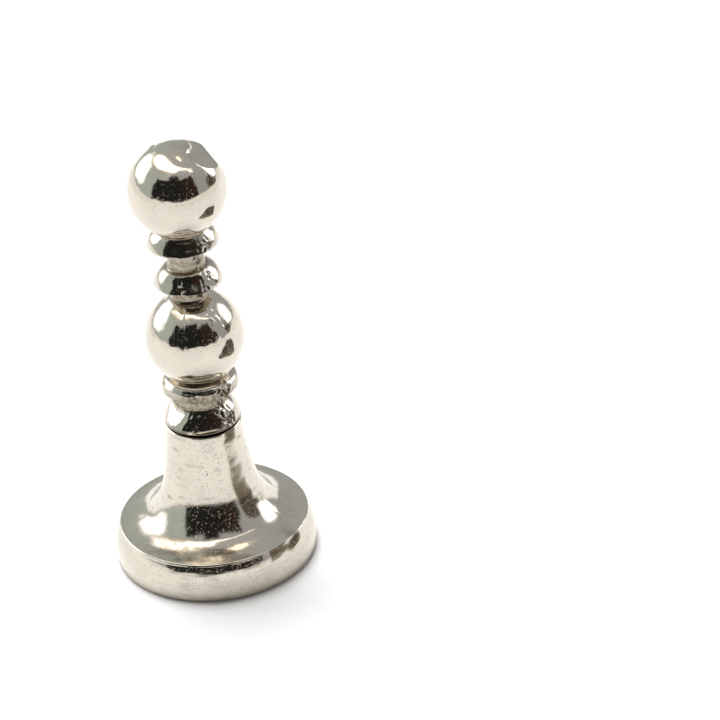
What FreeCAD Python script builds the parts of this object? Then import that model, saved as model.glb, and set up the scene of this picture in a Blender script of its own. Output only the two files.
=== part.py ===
"""Sealing-wax seal: an engraved die set in a bell foot, and a handle of balls and spools on a tie rod.

Millimetres, +Z up along the axis of the seal. The origin is the centre of the engraved face, z = 0.
"""
import FreeCAD, Part
import math
import os

# Driving dimensions of the seal.
height = 42.0
foot_radius = 9.05
rim_radius = 8.5
rim_height = 3.7
die_radius = 8.5
ball_radius = 4.45
collar_radius = 3.44
middle_ring_radius = 3.12
upper_ring_radius = 3.22
rod_radius = 1.25

# Heights of the joints between pieces, from the engraved face up.
die_thickness = 1.2
bell_top = 13.85
washer_thickness = 0.2
washer_radius = 3.0
handle_bottom = bell_top + washer_thickness
top_ball_centre = height - ball_radius
middle_ball_centre = 22.5
ball_seat = 3.8
middle_ball_top_seat = 4.1

# Internal fits.
thread_clearance = 0.05
bore_radius = rod_radius + thread_clearance
spigot_radius = 3.0
spigot_top = 3.4
rod_engagement = 5.9
hole_run_out = 0.4
drill_point = 0.75
rod_in_ball = 3.0
rod_chamfer = 0.3

# The starfish cut into the face.
arm_count = 5
arm_length = 6.6
notch_radius = 2.5
arm_turn = 42.0
rib_reach = (0.14, 0.72)
groove_half_width = 0.15
groove_depth = 0.2
left_flank_bow = -0.32
right_flank_bow = -0.14
rib_bow = 0.12
dot_radius = 0.24
dot_inset = 0.06
dot_rows = 3
first_dot_reach = 0.30
dot_reach_step = 0.16
first_dot_spread = 0.72
dot_spread_step = 0.15
notch_dot_reach = 0.62

# Flats ground on the top ball where its casting gates were cut off: azimuth, elevation, depth.
gate_flats = ((20.0, 28.0, 0.32), (100.0, 60.0, 0.34), (152.0, 38.0, 0.32))

origin = FreeCAD.Vector(0, 0, 0)
axis = FreeCAD.Vector(0, 0, 1)


def turned(start, *moves):
    """A solid turned about Z from an outline of (radius, height) points.

    A move of one point is a straight run to it. A move of two points is an arc through the first
    to the second.
    """
    edges = []
    here = FreeCAD.Vector(start[0], 0, start[1])
    for move in moves + ((start,),):
        there = FreeCAD.Vector(move[-1][0], 0, move[-1][1])
        if len(move) == 1:
            edges.append(Part.LineSegment(here, there).toShape())
        else:
            through = FreeCAD.Vector(move[0][0], 0, move[0][1])
            edges.append(Part.Arc(here, through, there).toShape())
        here = there
    return Part.Face(Part.Wire(edges)).revolve(origin, axis, 360)


def bored(solid, low, high):
    """The solid with a clearance bore for the rod between two heights."""
    return solid.cut(Part.makeCylinder(bore_radius, high - low, FreeCAD.Vector(0, 0, low)))


def polar(radius, degrees):
    """A point of the engraved face."""
    angle = math.radians(degrees)
    return FreeCAD.Vector(radius * math.cos(angle), radius * math.sin(angle), 0)


def groove(start, end, bow):
    """A cutter for a groove from start to end, bowed sideways, with round ends."""
    along = (end - start).normalize()
    through = (start + end) * 0.5 + axis.cross(along) * bow
    path = Part.Wire([Part.Arc(start, through, end).toShape()])
    outline = Part.Face(path.makeOffset2D(groove_half_width))
    outline.translate(axis * -groove_depth)
    return outline.extrude(axis * 2 * groove_depth)


def dot(place):
    """A cutter for one round punch mark."""
    return Part.makeSphere(dot_radius, place - axis * dot_inset)


def starfish_arm(degrees):
    """The cutters of one arm: two bowed flanks, a groove down the middle and two rows of dots."""
    tip = polar(arm_length, degrees)
    half_step = 180.0 / arm_count
    left = polar(notch_radius, degrees + half_step)
    right = polar(notch_radius, degrees - half_step)
    rib_start = polar(rib_reach[0] * arm_length, degrees)
    rib_end = polar(rib_reach[1] * arm_length, degrees)
    cutters = [
        groove(left, tip, left_flank_bow),
        groove(tip, right, right_flank_bow),
        groove(rib_start, rib_end, rib_bow),
        dot(polar(notch_dot_reach * notch_radius, degrees + half_step)),
    ]
    for row in range(dot_rows):
        along = polar((first_dot_reach + dot_reach_step * row) * arm_length, degrees)
        for side in (-90, 90):
            cutters.append(dot(along + polar(first_dot_spread - dot_spread_step * row, degrees + side)))
    return cutters


def engraved_die():
    """The disc that makes the impression: a spigot to hold it, and the starfish cut into its face."""
    disc = turned(
        (0, 0),
        ((die_radius - 0.08, 0),),
        ((die_radius, 0.08),),
        ((die_radius, die_thickness),),
        ((spigot_radius, die_thickness),),
        ((spigot_radius, spigot_top),),
        ((0, spigot_top),),
    )
    for number in range(arm_count):
        for cutter in starfish_arm(arm_turn + number * 360.0 / arm_count):
            disc = disc.cut(cutter)
    return disc


def bell_foot():
    """The bell: a bulged side, a crisp rim, a hollow flare and a tapped hole for the rod from the top."""
    hole_end = bell_top - rod_engagement - hole_run_out
    return turned(
        (spigot_radius, die_thickness),
        ((die_radius, die_thickness),),
        ((die_radius, 0.08),),
        ((die_radius + 0.3, 0.02), (die_radius + 0.43, 0.12)),
        ((foot_radius, 1.24), (rim_radius + 0.04, rim_height - 0.2)),
        ((rim_radius - 0.01, rim_height - 0.06), (rim_radius - 0.15, rim_height),),
        ((7.1, rim_height + 0.27), (5.95, rim_height + 0.92)),
        ((4.85, 5.95), (4.2, 7.8)),
        ((3.7, 10.6), (3.46, bell_top - 0.25)),
        ((3.39, bell_top - 0.08), (3.2, bell_top)),
        ((bore_radius, bell_top),),
        ((bore_radius, hole_end),),
        ((0, hole_end - drill_point),),
        ((0, spigot_top),),
        ((spigot_radius, spigot_top),),
    )


def collar_washer():
    """The thin plain ring between the bell and the handle."""
    ring = Part.makeCylinder(washer_radius, washer_thickness, FreeCAD.Vector(0, 0, bell_top))
    return bored(ring, bell_top, handle_bottom)


def lower_spool():
    """The domed collar that sits over the bell, a short neck and the lower ring."""
    top = middle_ball_centre - ball_seat
    ring = handle_bottom + 3.25
    return turned(
        (bore_radius, handle_bottom),
        ((collar_radius - 0.08, handle_bottom),),
        ((collar_radius, handle_bottom + 0.08),),
        ((3.03, handle_bottom + 1.08), (2.4, handle_bottom + 1.95)),
        ((2.33, handle_bottom + 2.6), (2.4, ring)),
        ((collar_radius - 0.1, ring),),
        ((collar_radius, ring + 0.1),),
        ((collar_radius + 0.03, ring + 0.4), (collar_radius - 0.06, ring + 0.75)),
        ((3.04, ring + 1.11), (2.45, ring + 1.3)),
        ((2.25, top),),
        ((bore_radius, top),),
    )


def upper_spool():
    """A short boss on the middle ball, the middle ring, a waisted neck and the upper ring."""
    bottom = middle_ball_centre + middle_ball_top_seat
    top = top_ball_centre - ball_seat
    low_ring = bottom + 1.6
    high_ring = top - 1.65
    return turned(
        (bore_radius, bottom),
        ((1.7, bottom),),
        ((1.72, low_ring - 0.3), (1.9, low_ring)),
        ((middle_ring_radius - 0.12, low_ring),),
        ((middle_ring_radius, low_ring + 0.12),),
        ((2.57, low_ring + 1.04), (1.75, low_ring + 1.75)),
        ((1.66, low_ring + 2.6), (1.95, high_ring)),
        ((upper_ring_radius - 0.12, high_ring),),
        ((upper_ring_radius, high_ring + 0.12),),
        ((2.83, high_ring + 0.92), (2.25, high_ring + 1.6)),
        ((2.2, top),),
        ((bore_radius, top),),
    )


def middle_ball():
    """A ball with a flat seat above and below, bored through."""
    low = middle_ball_centre - ball_seat
    high = middle_ball_centre + middle_ball_top_seat
    centre = FreeCAD.Vector(0, 0, middle_ball_centre)
    slab = Part.makeCylinder(ball_radius + 1, high - low, FreeCAD.Vector(0, 0, low))
    return bored(Part.makeSphere(ball_radius, centre).common(slab), low, high)


def half_space(azimuth, elevation, distance):
    """A block whose near face lies across a direction, at a distance from the top ball's centre."""
    side = 4 * ball_radius
    block = Part.makeBox(side, side, side, FreeCAD.Vector(-side / 2, -side / 2, distance))
    block.rotate(origin, FreeCAD.Vector(0, 1, 0), 90 - elevation)
    block.rotate(origin, axis, azimuth)
    block.translate(FreeCAD.Vector(0, 0, top_ball_centre))
    return block


def top_ball():
    """The closing ball: a flat seat, a blind tapped hole and three ground flats."""
    seat = top_ball_centre - ball_seat
    ball = Part.makeSphere(ball_radius, FreeCAD.Vector(0, 0, top_ball_centre))
    below = Part.makeCylinder(ball_radius + 1, ball_radius, FreeCAD.Vector(0, 0, seat - ball_radius))
    ball = bored(ball.cut(below), seat, seat + rod_in_ball)
    for azimuth, elevation, depth in gate_flats:
        ball = ball.cut(half_space(azimuth, elevation, ball_radius - depth))
    return ball


def tie_rod():
    """The threaded rod, from the bell's tapped hole to the end of the top ball's blind hole."""
    low = bell_top - rod_engagement
    high = top_ball_centre - ball_seat + rod_in_ball
    return turned(
        (0, low),
        ((rod_radius - rod_chamfer, low),),
        ((rod_radius, low + rod_chamfer),),
        ((rod_radius, high - rod_chamfer),),
        ((rod_radius - rod_chamfer, high),),
        ((0, high),),
    )


pieces = (
    engraved_die,
    bell_foot,
    collar_washer,
    tie_rod,
    lower_spool,
    middle_ball,
    upper_spool,
    top_ball,
)

os.makedirs("parts", exist_ok=True)
for piece in pieces:
    piece().exportStep("parts/" + piece.__name__ + ".step")
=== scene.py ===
"""Looks of the sealing-wax seal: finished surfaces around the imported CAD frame, and a small white studio.

Lengths are in millimetres until a mesh is made. Azimuths are in degrees from the front, -Y, and grow towards
the right, +X.
"""

import math

import bpy
import numpy as np
from mathutils import Matrix, Vector


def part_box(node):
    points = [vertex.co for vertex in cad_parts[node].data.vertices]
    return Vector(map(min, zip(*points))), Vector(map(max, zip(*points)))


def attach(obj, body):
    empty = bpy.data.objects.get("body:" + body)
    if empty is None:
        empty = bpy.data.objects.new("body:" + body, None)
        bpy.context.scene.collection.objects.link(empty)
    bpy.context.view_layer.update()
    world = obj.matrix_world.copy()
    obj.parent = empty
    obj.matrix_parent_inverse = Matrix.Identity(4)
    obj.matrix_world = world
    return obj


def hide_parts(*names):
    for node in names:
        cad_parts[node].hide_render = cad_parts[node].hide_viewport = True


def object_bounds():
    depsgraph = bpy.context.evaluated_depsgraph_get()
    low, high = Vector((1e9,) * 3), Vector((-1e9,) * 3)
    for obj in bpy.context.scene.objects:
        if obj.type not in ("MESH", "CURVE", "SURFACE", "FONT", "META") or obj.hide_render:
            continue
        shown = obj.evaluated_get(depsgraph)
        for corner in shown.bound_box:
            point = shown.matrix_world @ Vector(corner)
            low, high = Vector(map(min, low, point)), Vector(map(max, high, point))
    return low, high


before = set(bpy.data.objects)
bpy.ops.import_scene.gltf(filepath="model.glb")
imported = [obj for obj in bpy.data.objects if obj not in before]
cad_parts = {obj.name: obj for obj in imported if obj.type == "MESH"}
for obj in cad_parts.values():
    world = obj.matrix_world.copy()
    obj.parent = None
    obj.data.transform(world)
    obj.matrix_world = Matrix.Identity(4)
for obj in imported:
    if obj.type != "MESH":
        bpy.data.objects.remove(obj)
cad_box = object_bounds()

MM = 0.001
FULL_TURN = 2 * math.pi

# How finely surfaces are divided, in mm, and how many columns go round a piece.
FINE_STEP = 0.02
ROW_STEP = 0.12
HIDDEN_STEP = 1.0
ROW_TURN = math.radians(9)
HOLLOW_REACH = 0.3
COLUMNS = 448
FOOT_COLUMNS = 560
ROD_COLUMNS = 72

# The radius of the holes that the rod runs through, and how far a ball's centre is above its lower seat.
BORE = 1.3
BALL_SEAT = 3.8

# Azimuths of the mould's seams, of the nick in the foot's rim and of the side that was dressed roughly.
HANDLE_SEAM = -10.0
COLLAR_SEAM = -14.0
FOOT_SEAM = 68.0
NICK = 56.0
ROUGH_SIDE = 44.0


# ---------------------------------------------------------------- outlines and surfaces

def reach(node):
    """Lowest height, greatest height and greatest radius of a CAD node, in mm."""
    low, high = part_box(node)
    return low.z / MM, high.z / MM, high.x / MM


def arc_points(start, through, end):
    """Points every FINE_STEP along the arc from start through a point to end, without the end."""
    (ax, ay), (bx, by), (cx, cy) = start, through, end
    double = 2 * (ax * (by - cy) + bx * (cy - ay) + cx * (ay - by))
    a, b, c = ax * ax + ay * ay, bx * bx + by * by, cx * cx + cy * cy
    centre = np.array((a * (by - cy) + b * (cy - ay) + c * (ay - by),
                       a * (cx - bx) + b * (ax - cx) + c * (bx - ax))) / double
    radius = math.dist(centre, start)
    first, middle, last = (math.atan2(p[1] - centre[1], p[0] - centre[0]) for p in (start, through, end))
    sweep = (last - first) % FULL_TURN
    if (middle - first) % FULL_TURN > sweep:
        sweep -= FULL_TURN
    count = max(2, math.ceil(abs(sweep) * radius / FINE_STEP))
    angles = first + sweep * np.arange(count) / count
    return centre + radius * np.stack((np.cos(angles), np.sin(angles)), axis=1)


def line_points(start, end):
    """Points every FINE_STEP along a straight run, without the end."""
    count = max(2, math.ceil(math.dist(start, end) / FINE_STEP))
    share = np.arange(count)[:, None] / count
    return np.array(start) * (1 - share) + np.array(end) * share


def outline(start, *moves):
    """Closely spaced (radius, height) points. A move of one point is a straight run and of two points an arc.

    An outline that starts on the axis ends on it too. Any other outline is closed back to its start.
    """
    runs = []
    here = start
    closing = () if start[0] == 0 else ((start,),)
    for move in moves + closing:
        there = move[-1]
        runs.append(line_points(here, there) if len(move) == 1 else arc_points(here, move[0], there))
        here = there
    if start[0] == 0:
        runs.append(np.array([here]))
    return np.concatenate(runs)


def softened(points, edge):
    """The outline with its corners rounded over about edge mm. Points on the axis stay on it."""
    count = max(1, round(2.5 * edge / FINE_STEP))
    weights = np.exp(-0.5 * (np.arange(-count, count + 1) * FINE_STEP / edge) ** 2)
    weights /= weights.sum()
    if points[0, 0] == 0:
        flip = np.array((-1, 1))
        padded = np.concatenate((points[count:0:-1] * flip, points, points[-2:-count - 2:-1] * flip))
    else:
        padded = np.concatenate((points[-count:], points, points[:count]))
    smooth = np.stack([np.convolve(padded[:, k], weights, "valid") for k in (0, 1)], axis=1)
    if points[0, 0] == 0:
        smooth[0, 0] = smooth[-1, 0] = 0
    return smooth


def chosen_rows(points, normals, hidden, row_step):
    """Indices of the outline points that become rows of the mesh: close in bends, far apart where hidden."""
    rows = [0]
    length = turn = 0.0
    for index in range(1, len(points)):
        length += math.dist(points[index], points[index - 1])
        turn += abs(math.asin(np.clip(np.cross(normals[index - 1], normals[index]), -1, 1)))
        limit = HIDDEN_STEP if hidden(points[index]) else row_step
        if length >= limit or turn >= ROW_TURN:
            rows.append(index)
            length = turn = 0.0
    if points[0, 0] == 0 and rows[-1] != len(points) - 1:
        rows.append(len(points) - 1)
    return rows


def column_azimuths(count, crowded):
    """Azimuths round a full turn in degrees, closer together near the crowded ones."""
    fine = np.linspace(-180, 180, 7201)
    density = np.ones_like(fine)
    for azimuth in crowded:
        away = (fine - azimuth + 180) % 360 - 180
        density += 1.6 * np.exp(-((away / 7) ** 2))
    total = np.concatenate(([0], np.cumsum((density[1:] + density[:-1]) / 2)))
    return np.interp(np.arange(count) * total[-1] / count, total, fine)


def turned(name, points, relief, shade_and_wear=None, columns=COLUMNS, crowded=(), bore=0.0, edge=0.05,
           row_step=ROW_STEP):
    """A piece turned from an outline, with relief(place, azimuth) added along its normals, in mm.

    The relief gets the place of every point as an array of (x, y, z) and its azimuth in degrees.
    Points no further out than the bore stay as they are. The mesh keeps how dark each point is painted,
    from 0 to 1: painted shade and marks from the piece's own darkening function, and painted shade
    where the outline is hollow.
    """
    points = softened(points, edge)
    inward = softened(points, HOLLOW_REACH) - points
    tangents = np.gradient(points, axis=0)
    tangents /= np.linalg.norm(tangents, axis=1, keepdims=True)
    normals = np.stack((tangents[:, 1], -tangents[:, 0]), axis=1)
    hollow = (inward * normals).sum(axis=1)
    rows = chosen_rows(points, normals, lambda point: point[0] < bore + 0.1, row_step)
    points, normals, hollow = points[rows], normals[rows], hollow[rows]
    azimuth = column_azimuths(columns, crowded)
    turn = np.radians(azimuth - 90)
    across = np.stack((np.cos(turn), np.sin(turn)), axis=1)
    place = np.empty((len(points), columns, 3))
    normal = np.empty_like(place)
    place[..., :2] = points[:, None, :1] * across
    place[..., 2] = points[:, 1:]
    normal[..., :2] = normals[:, None, :1] * across
    normal[..., 2] = normals[:, 1:]
    azimuth = np.broadcast_to(azimuth, place.shape[:2])
    free = smooth_step(bore + 0.1, bore + 0.5, points[:, 0])[:, None]
    place = place + normal * (relief(place, azimuth) * free)[..., None]
    # Painted shade where the outline is hollow.
    painted_shade_and_wear = smooth_step(0.01, 0.07, hollow)[:, None] * np.ones(columns)
    if shade_and_wear:
        painted_shade_and_wear = np.clip(painted_shade_and_wear + shade_and_wear(place, azimuth), 0, 1)
    return solid_of_rows(name, place, painted_shade_and_wear, points[0, 0] == 0)


def solid_of_rows(name, place, painted_shade_and_wear, capped):
    """A closed mesh from rows of points. Capped rows end in a point at each end, others join end to end."""
    count, columns = place.shape[:2]
    grid = np.arange(count * columns).reshape(count, columns)
    painted_shade_and_wear = painted_shade_and_wear.ravel()
    if capped:
        vertices = np.concatenate((place[:1, 0], place[1:-1].reshape(-1, 3), place[-1:, 0]))
        painted_shade_and_wear = painted_shade_and_wear[columns - 1:-columns + 1]
        grid = grid[1:-1] - columns + 1
        lower, upper = grid[:-1], grid[1:]
    else:
        vertices = place.reshape(-1, 3)
        lower, upper = grid, np.roll(grid, -1, axis=0)
    quads = np.stack((lower, np.roll(lower, -1, axis=1), np.roll(upper, -1, axis=1), upper), axis=-1)
    faces = quads.reshape(-1, 4).tolist()
    if capped:
        first, last = 0, len(vertices) - 1
        for here, after in zip(grid[0], np.roll(grid[0], -1)):
            faces.append((first, int(after), int(here)))
        for here, after in zip(grid[-1], np.roll(grid[-1], -1)):
            faces.append((last, int(here), int(after)))
    mesh = bpy.data.meshes.new(name)
    mesh.from_pydata((vertices * MM).tolist(), [], faces)
    mesh.shade_smooth()
    mesh.attributes.new("painted_shade_and_wear", "FLOAT", "POINT").data.foreach_set("value", painted_shade_and_wear)
    piece = bpy.data.objects.new(name, mesh)
    bpy.context.scene.collection.objects.link(piece)
    return piece


# ---------------------------------------------------------------- relief: casting marks and wear

def smooth_step(low, high, value):
    """0 below low, 1 above high, and a smooth rise between."""
    share = np.clip((value - low) / (high - low), 0, 1)
    return share * share * (3 - 2 * share)


def waves(place, length, seed, count=18):
    """Smooth, repeatable unevenness of about that wavelength. Its typical size is 1."""
    draw = np.random.default_rng(seed)
    way = draw.normal(size=(count, 3))
    way /= np.linalg.norm(way, axis=1, keepdims=True)
    pitch = FULL_TURN / (length * draw.uniform(0.7, 1.4, count))
    phase = draw.uniform(0, FULL_TURN, count)
    return np.cos(place @ (way * pitch[:, None]).T + phase).sum(axis=-1) / math.sqrt(count / 2)


def off_line(place, azimuth, line, wander=0.0, seed=0):
    """Distance in mm, along the surface's circle, from a line of constant azimuth that may wander."""
    radius = np.hypot(place[..., 0], place[..., 1])
    drift = wander * waves(place * (0, 0, 1), 2.5, seed) if wander else 0.0
    return np.radians((azimuth - line + 180) % 360 - 180) * radius - drift


def ridge(distance, width):
    """1 on a line and 0 away from it."""
    return np.exp(-((distance / width) ** 2))


def clear_of_ends(place, low, high):
    """1 over the open surface and 0 at the two faces that meet other pieces."""
    height = place[..., 2]
    return smooth_step(low + 0.02, low + 0.3, height) * smooth_step(-high + 0.02, -high + 0.3, -height)


def faced(place, azimuth, edge, slope, proud, middle, width):
    """Relief that dresses a ring's front to a cone that rises from its lower edge, (radius, height)."""
    out = np.hypot(place[..., 0], place[..., 1]) - edge[0]
    up = place[..., 2] - edge[1]
    rise = math.radians(slope)
    beyond = out * math.cos(rise) + up * math.sin(rise) - proud
    return -np.maximum(beyond, 0) * smooth_step(0, 0.15, up) * ridge(azimuth - middle, width)


def flattened(place, centre, radius, cuts):
    """Relief that grinds flats on a ball. A cut is an azimuth from the front, an elevation and a depth."""
    away = place - centre
    distance = np.linalg.norm(away, axis=-1)
    relief = np.zeros_like(distance)
    for azimuth, elevation, depth in cuts:
        turn, rise = math.radians(azimuth - 90), math.radians(elevation)
        facing = np.array((math.cos(turn) * math.cos(rise), math.sin(turn) * math.cos(rise), math.sin(rise)))
        square = np.clip(away @ facing / distance, 0.05, 1)
        limit = (radius - depth) / square - radius
        relief = np.minimum(relief, limit)
    return relief


# ---------------------------------------------------------------- pieces

def moved_aside(azimuth, distance):
    """Relief that carries a round surface sideways, towards +X, as a casting that sits off its axis."""
    return distance * np.sin(np.radians(azimuth))


def top_ball():
    low, high, _ = reach("top_ball")
    radius = reach("middle_ball")[2]
    centre = high - radius
    hole_depth = 3.0
    hole_end = low + hole_depth
    seat = math.sqrt(radius ** 2 - (centre - low) ** 2)
    points = outline(
        (0, hole_end),
        ((BORE, hole_end),),
        ((BORE, low),),
        ((seat, low),),
        ((radius, centre), (0, high)),
    )
    middle = np.array((0, 0, centre))
    # Flats where the casting's gates were ground off: azimuth, elevation, depth.
    flats = ((110, 28, 0.32), (190, 60, 0.34), (242, 38, 0.32), (82, 54, 0.35), (250, 74, 0.1))

    def relief(place, azimuth):
        height = place[..., 2]
        uneven = 0.008 * waves(place, 2.6, seed=11) + 0.003 * waves(place, 0.8, seed=12) - 0.02
        rough = ridge(azimuth - 40, 34) * ridge(height - centre - 2.9, 0.7)
        uneven = uneven + 0.012 * rough * np.maximum(waves(place, 0.6, seed=13) - 0.9, 0)
        return (uneven + flattened(place, middle, radius, flats)) * smooth_step(low + 0.02, low + 0.3, height)

    return turned("top_ball_finished", points, relief, bore=BORE, crowded=(ROUGH_SIDE + 16,))


def middle_ball():
    low, high, radius = reach("middle_ball")
    centre = reach("lower_spool")[1] + BALL_SEAT
    seat = math.sqrt(radius ** 2 - (centre - low) ** 2)
    top_seat = math.sqrt(radius ** 2 - (high - centre) ** 2)
    points = outline(
        (BORE, low),
        ((seat, low),),
        ((radius, centre), (top_seat, high)),
        ((BORE, high),),
    )

    def relief(place, azimuth):
        height = place[..., 2]
        uneven = 0.008 * waves(place, 2.6, seed=21) + 0.003 * waves(place, 0.8, seed=22) - 0.012
        seam = off_line(place, azimuth, HANDLE_SEAM, wander=0.05, seed=23)
        upper = smooth_step(centre + 0.2, centre + 2.2, height)
        uneven = uneven + upper * (0.02 * ridge(seam, 0.1) - 0.02 * ridge(seam + 0.25, 0.16))
        rough = ridge(azimuth - 40, 10) * smooth_step(centre + 1.2, centre + 2.2, height)
        uneven = uneven + 0.03 * rough * np.maximum(waves(place, 0.5, seed=24) - 0.2, 0)
        return (uneven + moved_aside(azimuth, 0.08)) * clear_of_ends(place, low, high)

    return turned("middle_ball_finished", points, relief, bore=BORE, crowded=(HANDLE_SEAM, ROUGH_SIDE))


def upper_spool():
    low, high, _ = reach("upper_spool")
    low_ring = low + 1.6
    high_ring = high - 1.65
    low_radius = 3.12
    high_radius = 3.22
    points = outline(
        (BORE, low),
        ((1.7, low),),
        ((1.72, low_ring - 0.3), (1.9, low_ring)),
        ((low_radius - 0.12, low_ring),),
        ((low_radius, low_ring + 0.12),),
        ((2.68, low_ring + 1.08), (1.75, low_ring + 1.75)),
        ((1.66, low_ring + 2.6), (1.95, high_ring)),
        ((high_radius - 0.12, high_ring),),
        ((high_radius, high_ring + 0.12),),
        ((2.96, high_ring + 1.0), (2.25, high_ring + 1.6)),
        ((2.2, high),),
        ((BORE, high),),
    )

    def relief(place, azimuth):
        height = place[..., 2]
        uneven = 0.012 * waves(place, 2.4, seed=31) + 0.004 * waves(place, 0.9, seed=32)
        seam = off_line(place, azimuth, HANDLE_SEAM, wander=0.05, seed=33)
        below_neck = smooth_step(-low_ring - 1.7, -low_ring - 1.2, -height)
        on_ring = smooth_step(low_ring, low_ring + 0.2, height) * below_neck
        frayed = 0.03 * ridge(seam, 0.4) * waves(place, 0.5, seed=34)
        uneven = uneven + on_ring * (0.04 * ridge(seam, 0.12) + frayed)
        on_top = smooth_step(high_ring, high_ring + 0.2, height)
        uneven = uneven + 0.004 * on_top * waves(place * (0.5, 0.5, 2.5), 0.8, seed=36)
        rough = ridge(azimuth - ROUGH_SIDE, 14)
        uneven = uneven + 0.03 * rough * waves(place, 0.5, seed=35) - 0.03
        aside = moved_aside(azimuth, 0.1) * smooth_step(-high_ring, -high_ring + 1.5, -height)
        flat = 0.12 * (below_neck + smooth_step(high_ring - 0.3, high_ring, height)) * ridge(azimuth - 5, 50)
        low_face = faced(place, azimuth, (low_radius, low_ring + 0.1), 37, 0.06, 5, 60)
        low_face = low_face * smooth_step(-low_ring - 2.2, -low_ring - 1.7, -height)
        high_face = faced(place, azimuth, (high_radius, high_ring + 0.1), 32, 0.06, 5, 60)
        return (uneven + aside - flat + low_face + high_face) * clear_of_ends(place, low, high)

    def shade_and_wear(place, azimuth):
        height = place[..., 2]
        # Painted shade on the neck and under the lower ring, a painted reflection darkening the upper ring's
        # front, and painted shade lines at both rings' lower edges.
        neck = ridge(height - low_ring - 2.6, 1.0) + smooth_step(-low_ring - 0.05, -low_ring + 0.1, -height)
        upper = smooth_step(high_ring + 0.05, high_ring + 0.3, height) * ridge(azimuth - 12, 42)
        edges = ridge(height - low_ring - 0.03, 0.1) + ridge(height - high_ring - 0.03, 0.1)
        return edges + 0.9 * neck + 0.5 * upper * (1 + 0.4 * waves(place * (0.6, 0.6, 2), 0.9, seed=37))

    return turned("upper_spool_finished", points, relief, shade_and_wear, bore=BORE,
                  crowded=(HANDLE_SEAM, ROUGH_SIDE), edge=0.03)


def lower_spool():
    low, high, _ = reach("lower_spool")
    ring = low + 3.25
    radius = 3.44
    points = outline(
        (BORE, low),
        ((radius - 0.08, low),),
        ((radius, low + 0.08),),
        ((3.12, low + 1.15), (2.4, low + 1.95)),
        ((2.33, low + 2.6), (2.4, ring)),
        ((radius - 0.1, ring),),
        ((radius, ring + 0.1),),
        ((radius + 0.03, ring + 0.5), (radius - 0.06, ring + 0.95)),
        ((3.1, ring + 1.22), (2.45, ring + 1.33)),
        ((2.25, high),),
        ((BORE, high),),
    )

    def relief(place, azimuth):
        height = place[..., 2]
        uneven = 0.012 * waves(place, 2.4, seed=41) + 0.004 * waves(place, 0.9, seed=42)
        seam = off_line(place, azimuth, COLLAR_SEAM, wander=0.05, seed=43)
        uneven = uneven + 0.03 * ridge(seam, 0.14) + 0.03 * ridge(seam, 0.5) * waves(place, 0.5, seed=44)
        rough = ridge(azimuth - ROUGH_SIDE, 14)
        uneven = uneven + 0.03 * rough * waves(place, 0.5, seed=45)
        dressed = smooth_step(-ring, -ring + 1.0, -height) * ridge(azimuth - 5, 55)
        uneven = uneven - 0.06 * dressed + 0.003 * dressed * waves(place * (1, 1, 0.3), 0.35, seed=46) - 0.03
        line = ridge(height - low - 2.12, 0.05)
        aside = moved_aside(azimuth, 0.08) * smooth_step(ring - 0.6, ring, height)
        collar = smooth_step(-low - 2.2, -low - 1.7, -height)
        face = faced(place, azimuth, (radius, low + 0.08), 29, 0.05, 8, 40) * collar
        face = face + faced(place, azimuth, (radius, low + 0.08), 44, 0.15, -62, 26) * collar
        uneven = uneven + 0.007 * collar * waves(place, 0.5, seed=48)
        flat = (0.2 * collar + 0.1 * smooth_step(ring - 0.2, ring, height)) * ridge(azimuth - 5, 50)
        return (uneven + 0.03 * line + aside + face - flat) * clear_of_ends(place, low, high)

    def shade_and_wear(place, azimuth):
        height = place[..., 2]
        # Painted shade on the neck, a painted reflection darkening the ring's front band, painted shade lines
        # at the collar's and the ring's lower edges, and the collar darker at its lower front.
        neck = ridge(height - low - 2.65, 0.62)
        band = ridge(height - ring - 0.4, 0.55) * ridge(azimuth - 6, 66)
        collar_front = ridge(height - low - 0.3, 0.75) * ridge(azimuth - 24, 36)
        edges = 2 * ridge(height - low - 0.03, 0.1) + 2 * ridge(height - ring - 0.03, 0.08)
        return edges + 0.95 * neck + (1.05 * band + 0.6 * collar_front) * (1 + 0.15 * waves(place, 0.8, seed=47))

    return turned("lower_spool_finished", points, relief, shade_and_wear, bore=BORE,
                  crowded=(COLLAR_SEAM, ROUGH_SIDE), edge=0.03)


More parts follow.
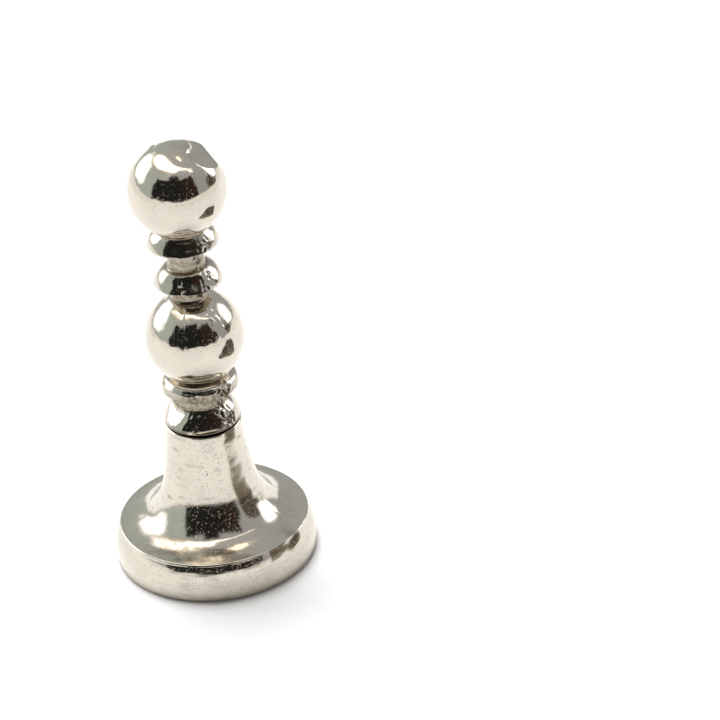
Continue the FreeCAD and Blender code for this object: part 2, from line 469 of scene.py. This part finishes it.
def bell_foot():
    low, top, radius = reach("bell_foot")
    _, die_top, die_radius = reach("engraved_die")
    rim = 8.5
    rim_height = 3.7
    spigot = 3.0
    seat = 1.2
    hole_end = top - 6.3
    vent = 0.4
    drill_point = 0.55
    points = outline(
        (spigot, seat),
        ((die_radius, seat),),
        ((die_radius, 0.08),),
        ((die_radius + 0.3, 0.02), (die_radius + 0.43, 0.12)),
        ((radius, 1.24), (rim + 0.04, rim_height - 0.2)),
        ((rim - 0.01, rim_height - 0.06), (rim - 0.15, rim_height)),
        ((7.1, rim_height + 0.27), (5.95, rim_height + 0.92)),
        ((4.86, 6.09), (4.2, 7.8)),
        ((3.7, 10.6), (3.45, top - 0.1)),
        ((3.36, top),),
        ((BORE, top),),
        ((BORE, hole_end),),
        ((vent, hole_end - drill_point),),
        ((vent, die_top),),
        ((spigot, die_top),),
    )

    def relief(place, azimuth):
        height = place[..., 2]
        uneven = 0.01 * waves(place, 4.5, seed=51) + 0.003 * waves(place, 1.1, seed=52) - 0.02
        seam = off_line(place, azimuth, FOOT_SEAM, wander=0.05, seed=53)
        above = smooth_step(3.4, 3.8, height) * smooth_step(-8.5, -6.5, -height)
        uneven = uneven + above * (0.02 * ridge(seam, 0.07) - 0.016 * ridge(seam - 0.16, 0.1))
        across = azimuth - NICK + 7 * (rim_height - height)
        nick = ridge(across, 5.5) * ridge(height - rim_height + 0.2, 0.55)
        below = ridge(across + 3, 5) * smooth_step(0.3, 1.5, height) * smooth_step(-3.5, -2.6, -height)
        uneven = uneven - 0.09 * nick - 0.02 * below
        brushed = smooth_step(0.4, 1.0, height) * smooth_step(-rim_height, -rim_height + 0.4, -height)
        uneven = uneven + 0.0016 * brushed * waves(place * (0.12, 0.12, 1), 0.28, seed=54)
        uneven = uneven - 0.14 * smooth_step(top - 1.2, top, height) * ridge(azimuth - 5, 50)
        return uneven * smooth_step(0.1, 0.5, height)

    def shade_and_wear(place, azimuth):
        height = place[..., 2]
        streaks = np.maximum(waves(place * (0.12, 0.12, 1), 0.35, seed=55) - 0.7, 0)
        side = smooth_step(0.1, 0.5, height) * smooth_step(-rim_height, -rim_height + 0.5, -height)
        bell = smooth_step(5.0, 6.5, height)
        # Painted shade in the nick.
        nick = ridge(azimuth - NICK + 7 * (rim_height - height), 5) * ridge(height - rim_height + 0.35, 0.4)
        marks = np.maximum(waves(place * (0.6, 0.6, 1.6), 0.8, seed=56) - 1.1, 0)
        # The ledge is darker and rougher at its front left.
        ledge = smooth_step(3.6, 3.75, height) * smooth_step(-4.45, -4.2, -height) * ridge(azimuth + 22, 24)
        ledge_haze = 0.7 * ledge * (1 + 0.3 * waves(place, 0.9, seed=57))
        return 0.3 * side * streaks * ridge(azimuth - 5, 50) + 0.35 * bell * marks + 0.8 * nick + ledge_haze

    return turned("bell_foot_finished", points, relief, shade_and_wear, columns=FOOT_COLUMNS, bore=spigot - 1.5,
                  crowded=(FOOT_SEAM, NICK), edge=0.03)


def collar_washer():
    low, high, radius = reach("collar_washer")
    points = outline((BORE, low), ((radius, low),), ((radius, high),), ((BORE, high),))

    def relief(place, azimuth):
        ragged = 0.02 * waves(place * (1, 1, 0), 1.5, seed=61)
        return ragged * clear_of_ends(place, low - 0.25, high + 0.25) - 0.02

    return turned("collar_washer_finished", points, relief, bore=BORE, columns=192, edge=0.03)


def tie_rod():
    low, high, radius = reach("tie_rod")
    chamfer = 0.3
    pitch = 0.45
    points = outline(
        (0, low),
        ((radius - chamfer, low),),
        ((radius, low + chamfer),),
        ((radius, high - chamfer),),
        ((radius - chamfer, high),),
        ((0, high),),
    )

    def relief(place, azimuth):
        along = (place[..., 2] / pitch - azimuth / 360) % 1
        depth = 0.27 * np.abs(2 * along - 1)
        out = np.hypot(place[..., 0], place[..., 1])
        return -depth * smooth_step(radius - chamfer, radius - 0.05, out)

    return turned("tie_rod_finished", points, relief, columns=ROD_COLUMNS, bore=-1, edge=0.02, row_step=0.05)


# ---------------------------------------------------------------- materials

# Colours of the metals, and what painted shade, tarnish and dirt leave of each channel.
SILVER = (0.655, 0.608, 0.525)
STEEL = (0.42, 0.41, 0.39)
# The washer's near-black is dirt and painted shade in its joint under the collar.
SOOT_AND_SHADE = (0.10, 0.09, 0.08)
SHADE_AND_TARNISH = (0.3, 0.27, 0.216)


class Nodes:
    """A short way to add shader nodes and join them."""

    def __init__(self, tree):
        self.tree = tree
        tree.nodes.clear()

    def add(self, kind, inputs=(), **settings):
        node = self.tree.nodes.new(kind)
        for key, value in settings.items():
            setattr(node, key, value)
        for key, value in dict(inputs).items():
            if isinstance(value, bpy.types.NodeSocket):
                self.tree.links.new(value, node.inputs[key])
            else:
                node.inputs[key].default_value = value
        return node

    def math(self, operation, first, second=0.0, third=0.0):
        inputs = {0: first, 1: second, 2: third}
        return self.add("ShaderNodeMath", inputs, operation=operation).outputs[0]

    def ramp(self, value, low, high, to_low=0.0, to_high=1.0):
        inputs = {"Value": value, "From Min": low, "From Max": high, "To Min": to_low, "To Max": to_high}
        return self.add("ShaderNodeMapRange", inputs, interpolation_type="SMOOTHSTEP").outputs["Result"]

    def mixed(self, share, first, second):
        """The first colour where the share is 0 and the second where it is 1."""
        node = self.add("ShaderNodeMix", {0: share}, data_type="RGBA")
        for socket, colour in ((node.inputs[6], first), (node.inputs[7], second)):
            if isinstance(colour, bpy.types.NodeSocket):
                self.tree.links.new(colour, socket)
            else:
                socket.default_value = (*colour, 1)
        return node.outputs[2]

    def surface(self, material, colour, roughness, normal, metallic):
        inputs = {"Base Color": colour, "Roughness": roughness, "Metallic": metallic}
        if normal:
            inputs["Normal"] = normal
        shader = self.add("ShaderNodeBsdfPrincipled", inputs)
        out = self.add("ShaderNodeOutputMaterial")
        self.tree.links.new(shader.outputs[0], out.inputs["Surface"])
        return material


def pitted(nodes, place, per_mm, smallest, largest, share, cluster):
    """Round pits: 1 in the middle of a pit and 0 outside. Only that share of them is there, in clusters."""
    cells = nodes.add("ShaderNodeTexVoronoi", {"Vector": place, "Scale": per_mm})
    draw = nodes.add("ShaderNodeSeparateColor", {"Color": cells.outputs["Color"]})
    size = nodes.ramp(draw.outputs[1], 0.0, 1.0, smallest * per_mm, largest * per_mm)
    inside = nodes.math("DIVIDE", cells.outputs["Distance"], size)
    pit = nodes.ramp(inside, 0.35, 1.0, 1.0, 0.0)
    level = nodes.math("MULTIPLY_ADD", cluster, 0.6, nodes.math("MULTIPLY", draw.outputs[0], 0.7))
    return nodes.math("MULTIPLY", pit, nodes.ramp(level, 0.995 - share, 1.0 - share + 0.03))


def plating(name, colour, roughness, grain, pits, streaks):
    """Bright plating on cast metal: pits, fine grain, dressing marks, dirt in pits, painted shade in hollows.
    """
    material = bpy.data.materials.new(name)
    material.use_nodes = True
    nodes = Nodes(material.node_tree)
    place = nodes.add("ShaderNodeTexCoord").outputs["Object"]
    place = nodes.add("ShaderNodeVectorMath", {0: place, "Scale": 1 / MM}, operation="SCALE").outputs[0]
    cloud = nodes.add("ShaderNodeTexNoise", {"Vector": place, "Scale": 0.45, "Detail": 4.0}).outputs["Fac"]
    patch = nodes.add("ShaderNodeTexNoise", {"Vector": place, "Scale": 0.8, "Detail": 2.0}).outputs["Fac"]
    fine = nodes.add("ShaderNodeTexNoise", {"Vector": place, "Scale": 3.0, "Detail": 4.0}).outputs["Fac"]
    small = pitted(nodes, place, per_mm=6.5, smallest=0.025, largest=0.055, share=0.36, cluster=patch)
    large = pitted(nodes, place, per_mm=1.9, smallest=0.05, largest=0.1, share=0.16, cluster=patch)
    pit = nodes.math("MAXIMUM", small, large)
    squeezed = {0: place, 1: (0.35, 0.35, 9.0)}
    lines = nodes.add("ShaderNodeVectorMath", squeezed, operation="MULTIPLY").outputs[0]
    brush = nodes.add("ShaderNodeTexNoise", {"Vector": lines, "Scale": 1.0, "Detail": 4.0}).outputs["Fac"]
    height = nodes.math("MULTIPLY", fine, grain)
    height = nodes.math("MULTIPLY_ADD", small, -pits, height)
    height = nodes.math("MULTIPLY_ADD", large, -1.6 * pits, height)
    height = nodes.math("MULTIPLY_ADD", brush, streaks, height)
    bump = nodes.add("ShaderNodeBump", {"Strength": 1.0, "Distance": MM, "Height": height})
    # Each mesh's darkening, painted shade with some real marks, darkens the colour. Pits darken it as dirt.
    painted_shade_and_wear = nodes.add("ShaderNodeAttribute", attribute_name="painted_shade_and_wear").outputs["Fac"]
    painted_shade_and_wear = nodes.math("MULTIPLY", painted_shade_and_wear, nodes.ramp(fine, 0.35, 0.6, 0.7, 1.0))
    shade_and_grime = nodes.math("MAXIMUM", painted_shade_and_wear, nodes.math("MULTIPLY", pit, 0.45))
    tone = nodes.ramp(cloud, 0.3, 0.7)
    plain = nodes.mixed(tone, tuple(0.93 * part for part in colour), colour)
    shade_and_stain_colour = tuple(part * stain for part, stain in zip(colour, SHADE_AND_TARNISH))
    shade_and_wear = nodes.mixed(shade_and_grime, plain, shade_and_stain_colour)
    gloss = nodes.math("MULTIPLY_ADD", fine, 0.05, roughness)
    gloss = nodes.math("MULTIPLY_ADD", shade_and_grime, 0.16, gloss)
    return nodes.surface(material, shade_and_wear, gloss, bump.outputs[0], 1.0)


def paper():
    """The white sheet that the seal stands on."""
    material = bpy.data.materials.new("white_paper")
    material.use_nodes = True
    nodes = Nodes(material.node_tree)
    place = nodes.add("ShaderNodeTexCoord").outputs["Object"]
    fibre = nodes.add("ShaderNodeTexNoise", {"Vector": place, "Scale": 900.0, "Detail": 3.0}).outputs["Fac"]
    colour = nodes.mixed(nodes.ramp(fibre, 0.2, 0.8), (0.92, 0.92, 0.92), (0.95, 0.95, 0.95))
    return nodes.surface(material, colour, 0.9, None, 0.0)


# ---------------------------------------------------------------- studio

# Degrees in a radian, and how far upright edges in the studio waver, in degrees.
DEGREES = 360 / FULL_TURN
WAVE = 14.0

# Colours of the studio as the metal mirrors it. Above 1 is brighter than white paper.
DARK = (0.02, 0.02, 0.018)
BROWN = (0.04, 0.025, 0.02)
GREEN_GREY = (0.56, 0.62, 0.58)
BLUE_GREY = (0.45, 0.46, 0.48)
CEILING = (0.55, 0.55, 0.55)
OLIVE = (0.10, 0.09, 0.07)
AMBER = (1.3, 1.05, 0.8)
WARM_LIGHT = (2.8, 2.35, 1.8)
RING_LIGHT = (2.6, 2.5, 2.4)
RIGHT_LIGHT = (3.0, 3.0, 3.0)
LEFT_LIGHT = (3.4, 3.4, 3.4)
TABLE = (1.15, 1.12, 1.08)
CARD_FOOT = (0.30, 0.26, 0.20)
CARD_TOP = (0.12, 0.10, 0.08)

# The thin lamp is a circle of directions, this many degrees from its axis.
LAMP_AXIS = (0.218, 0.328, 0.919)
LAMP_SPREAD = 38

# How much of the studio's light reaches matt surfaces. The floor lamp gives the paper the rest.
MATT_SHARE = 0.3


class Sky:
    """The studio as the metal mirrors it: colour by direction, in azimuth and elevation degrees."""

    def __init__(self):
        world = bpy.data.worlds.new("studio")
        bpy.context.scene.world = world
        world.use_nodes = True
        self.nodes = Nodes(world.node_tree)
        way = self.nodes.add("ShaderNodeTexCoord").outputs["Generated"]
        self.x, self.y, self.z = self.nodes.add("ShaderNodeSeparateXYZ", {0: way}).outputs
        calc = self.nodes.math
        self.rise = calc("MULTIPLY", calc("ARCSINE", self.z), DEGREES)
        self.turn = calc("MULTIPLY", calc("ARCTAN2", self.x, calc("MULTIPLY", self.y, -1.0)), DEGREES)
        cloud = {"Vector": way, "Scale": 5.0, "Detail": 3.0}
        uneven = self.nodes.add("ShaderNodeTexNoise", cloud).outputs["Fac"]
        self.wavy_turn = calc("MULTIPLY_ADD", calc("SUBTRACT", uneven, 0.5), WAVE, self.turn)
        self.colour = None

    def oval(self, azimuth, elevation, half_width, half_height, soft):
        """1 inside an oval, 0 outside, with a soft edge."""
        calc = self.nodes.math
        away = calc("WRAP", calc("SUBTRACT", self.turn, azimuth), 180.0, -180.0)
        across = calc("POWER", calc("ABSOLUTE", calc("DIVIDE", away, half_width)), 2.0)
        up = calc("DIVIDE", calc("SUBTRACT", self.rise, elevation), half_height)
        up = calc("POWER", calc("ABSOLUTE", up), 2.0)
        size = calc("POWER", calc("ADD", across, up), 0.5)
        share = soft / (half_width + half_height)
        return self.nodes.ramp(size, 1 - share, 1 + share, 1.0, 0.0)

    def block(self, left, right, low, high, soft):
        """1 between two azimuths and two elevations. Its upright edges are wavy."""
        ramp, calc = self.nodes.ramp, self.nodes.math
        past_left = ramp(self.wavy_turn, left - soft, left + soft)
        before_right = ramp(self.wavy_turn, right - soft, right + soft, 1.0, 0.0)
        above_low = ramp(self.rise, low - soft, low + soft)
        below_high = ramp(self.rise, high - soft, high + soft, 1.0, 0.0)
        sides = calc("MULTIPLY", past_left, before_right)
        ends = calc("MULTIPLY", above_low, below_high)
        return calc("MULTIPLY", sides, ends)

    def ring(self, axis, degrees, thin, thick):
        """1 on the front of the circle of directions that many degrees from an axis, thick on the left."""
        calc = self.nodes.math
        along = calc("MULTIPLY", self.x, axis[0])
        along = calc("MULTIPLY_ADD", self.y, axis[1], along)
        along = calc("MULTIPLY_ADD", self.z, axis[2], along)
        angle = calc("MULTIPLY", calc("ARCCOSINE", along), DEGREES)
        off = calc("ABSOLUTE", calc("SUBTRACT", angle, degrees))
        width = self.nodes.ramp(self.x, -0.45, 0.35, thick, thin)
        line = self.nodes.ramp(calc("DIVIDE", off, width), 0.6, 1.0, 1.0, 0.0)
        front = self.nodes.ramp(calc("MULTIPLY_ADD", self.x, 0.6, self.y), 0.15, 0.35, 1.0, 0.0)
        high = self.nodes.ramp(self.z, 0.66, 0.76)
        return calc("MULTIPLY", line, calc("MULTIPLY", front, high))

    def paint(self, share, colour):
        """Lays a colour over what is painted so far."""
        self.colour = self.nodes.mixed(share, self.colour, colour)

    def finish(self):
        tree = self.nodes.tree
        matt = self.nodes.add("ShaderNodeLightPath").outputs["Is Diffuse Ray"]
        strength = self.nodes.ramp(matt, 0.0, 1.0, 1.0, MATT_SHARE)
        back = self.nodes.add("ShaderNodeBackground", {"Color": self.colour, "Strength": strength})
        out = self.nodes.add("ShaderNodeOutputWorld")
        tree.links.new(back.outputs[0], out.inputs["Surface"])


def room():
    """A white table edge, grey walls, a dark shape in front, two soft lamps and a thin one overhead."""
    sky = Sky()
    sky.colour = sky.nodes.mixed(sky.nodes.ramp(sky.x, -0.6, 0.5), GREEN_GREY, BLUE_GREY)
    sky.paint(sky.nodes.ramp(sky.rise, 35, 75), CEILING)
    sky.paint(sky.oval(azimuth=94, elevation=8, half_width=12, half_height=11, soft=8), OLIVE)
    sky.paint(sky.block(left=-24, right=12, low=30, high=56, soft=5), DARK)
    sky.paint(sky.block(left=-60, right=50, low=-2, high=45, soft=2), DARK)
    sky.paint(sky.block(left=16, right=47, low=6, high=42, soft=3), BROWN)
    sky.paint(sky.ring(LAMP_AXIS, LAMP_SPREAD, thin=3.0, thick=15.0), AMBER)
    sky.paint(sky.ring(LAMP_AXIS, LAMP_SPREAD, thin=2.0, thick=12.0), RING_LIGHT)
    sky.paint(sky.oval(azimuth=140, elevation=74, half_width=26, half_height=5, soft=6), WARM_LIGHT)
    sky.paint(sky.oval(azimuth=114, elevation=22, half_width=17, half_height=17, soft=9), RIGHT_LIGHT)
    sky.paint(sky.oval(azimuth=-121, elevation=24, half_width=24, half_height=17, soft=13), LEFT_LIGHT)
    sky.paint(sky.nodes.ramp(sky.rise, 0.4, 1.0, 1.0, 0.0), TABLE)
    sky.finish()


def floor_lamp():
    """A soft lamp, high behind the seal, that whitens the paper. The metal doesn't mirror it."""
    distance = 1.2
    light = bpy.data.lights.new("floor_lamp", "AREA")
    light.shape = "DISK"
    light.size = 0.7
    light.energy = 17.6
    lamp = bpy.data.objects.new("floor_lamp", light)
    place = heading(azimuth=-166, elevation=70) * distance
    lamp.location = place
    lamp.rotation_euler = (-place).to_track_quat("-Z", "Y").to_euler()
    lamp.visible_camera = False
    lamp.visible_glossy = False
    bpy.context.scene.collection.objects.link(lamp)


def heading(azimuth, elevation):
    """A unit vector. The azimuth is from the front, -Y, towards +X."""
    turn, rise = math.radians(azimuth - 90), math.radians(elevation)
    return Vector((math.cos(turn) * math.cos(rise), math.sin(turn) * math.cos(rise), math.sin(rise)))


def neighbour():
    """A dark round card at the right, seen only in the metal. The photograph has a second seal there."""
    bpy.ops.mesh.primitive_circle_add(vertices=64, radius=1.0, fill_type="NGON")
    card = bpy.context.object
    card.name = "painted_neighbour_reflection"
    card.scale = (12 * MM, 19 * MM, 1.0)
    card.rotation_euler = (math.radians(90), 0, math.radians(72))
    card.location = (29 * MM, -9 * MM, 0.0)
    for view in ("camera", "diffuse", "shadow", "transmission", "volume_scatter"):
        setattr(card, "visible_" + view, False)
    material = bpy.data.materials.new("painted_neighbour_reflection")
    material.use_nodes = True
    nodes = Nodes(material.node_tree)
    place = nodes.add("ShaderNodeTexCoord").outputs["Object"]
    height = nodes.add("ShaderNodeSeparateXYZ", {0: place}).outputs[1]
    cloud = nodes.add("ShaderNodeTexNoise", {"Vector": place, "Scale": 3.0, "Detail": 3.0}).outputs["Fac"]
    level = nodes.math("MULTIPLY_ADD", cloud, 0.3, height)
    colour = nodes.mixed(nodes.ramp(level, 0.15, 0.6), CARD_FOOT, CARD_TOP)
    # The card glows with its own colour as a painted reflection of a second seal: tan at its foot, dark at
    # its top.
    shader = nodes.add("ShaderNodeEmission", {"Color": colour, "Strength": 1.0})
    out = nodes.add("ShaderNodeOutputMaterial")
    material.node_tree.links.new(shader.outputs[0], out.inputs["Surface"])
    card.data.materials.append(material)


def floor():
    bpy.ops.mesh.primitive_circle_add(vertices=96, radius=0.25, fill_type="NGON")
    sheet = bpy.context.object
    sheet.name = "paper_floor"
    sheet.location.z = cad_box[0][2]
    sheet.data.materials.append(paper())


def camera():
    """The photograph's view: from the front, looking down, a little rolled."""
    place = Vector((14.4, -451.73, 299.2)) * MM
    pitch = math.radians(31.88)
    roll = math.radians(-5.56)
    forward = Vector((0, math.cos(pitch), -math.sin(pitch)))
    level = Vector((1, 0, 0))
    upright = level.cross(forward)
    right = level * math.cos(roll) + upright * math.sin(roll)
    up = upright * math.cos(roll) - level * math.sin(roll)
    data = bpy.data.cameras.new("photo_camera")
    data.lens = 300
    data.sensor_width = 36
    data.clip_end = 10
    view = bpy.data.objects.new("photo_camera", data)
    turn = Matrix((right, up, -forward)).transposed().to_4x4()
    view.matrix_world = Matrix.Translation(place) @ turn
    bpy.context.scene.collection.objects.link(view)
    bpy.context.scene.camera = view


cast = plating("cast_plating_finish", SILVER, roughness=0.06, grain=0.002, pits=0.007, streaks=0.002)
bright = plating("die_plating_finish", SILVER, roughness=0.06, grain=0.002, pits=0.006, streaks=0.002)
steel = plating("steel_finish", STEEL, roughness=0.3, grain=0.004, pits=0.004, streaks=0.004)
foot = plating("foot_plating_finish", SILVER, roughness=0.09, grain=0.004, pits=0.026, streaks=0.004)
# The washer is painted near-black: dirt and painted shade in its joint.
dirty_and_shaded = plating("washer_soot_and_shade_finish", SOOT_AND_SHADE, roughness=0.5, grain=0.006, pits=0.004, streaks=0.002)

# What builds each piece, the node that it replaces, the body it rides on, its slot and its finish.
pieces = (
    (bell_foot, "bell_foot", "head", "cast_plating", foot),
    (collar_washer, "collar_washer", "washer", "steel", dirty_and_shaded),
    (tie_rod, "tie_rod", "handle", "steel", steel),
    (lower_spool, "lower_spool", "handle", "cast_plating", cast),
    (middle_ball, "middle_ball", "handle", "cast_plating", cast),
    (upper_spool, "upper_spool", "handle", "cast_plating", cast),
    (top_ball, "top_ball", "handle", "cast_plating", cast),
)
for build, node, body, finish_slot, material in pieces:
    piece = build()
    piece.data.materials.append(material)
    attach(piece, body)
    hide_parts(node)

# The die keeps its CAD shape, which holds the engraving.
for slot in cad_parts["engraved_die"].material_slots:
    slot.material = bright

room()
floor()
floor_lamp()
neighbour()
camera()
bpy.context.scene.view_settings.view_transform = "Standard"
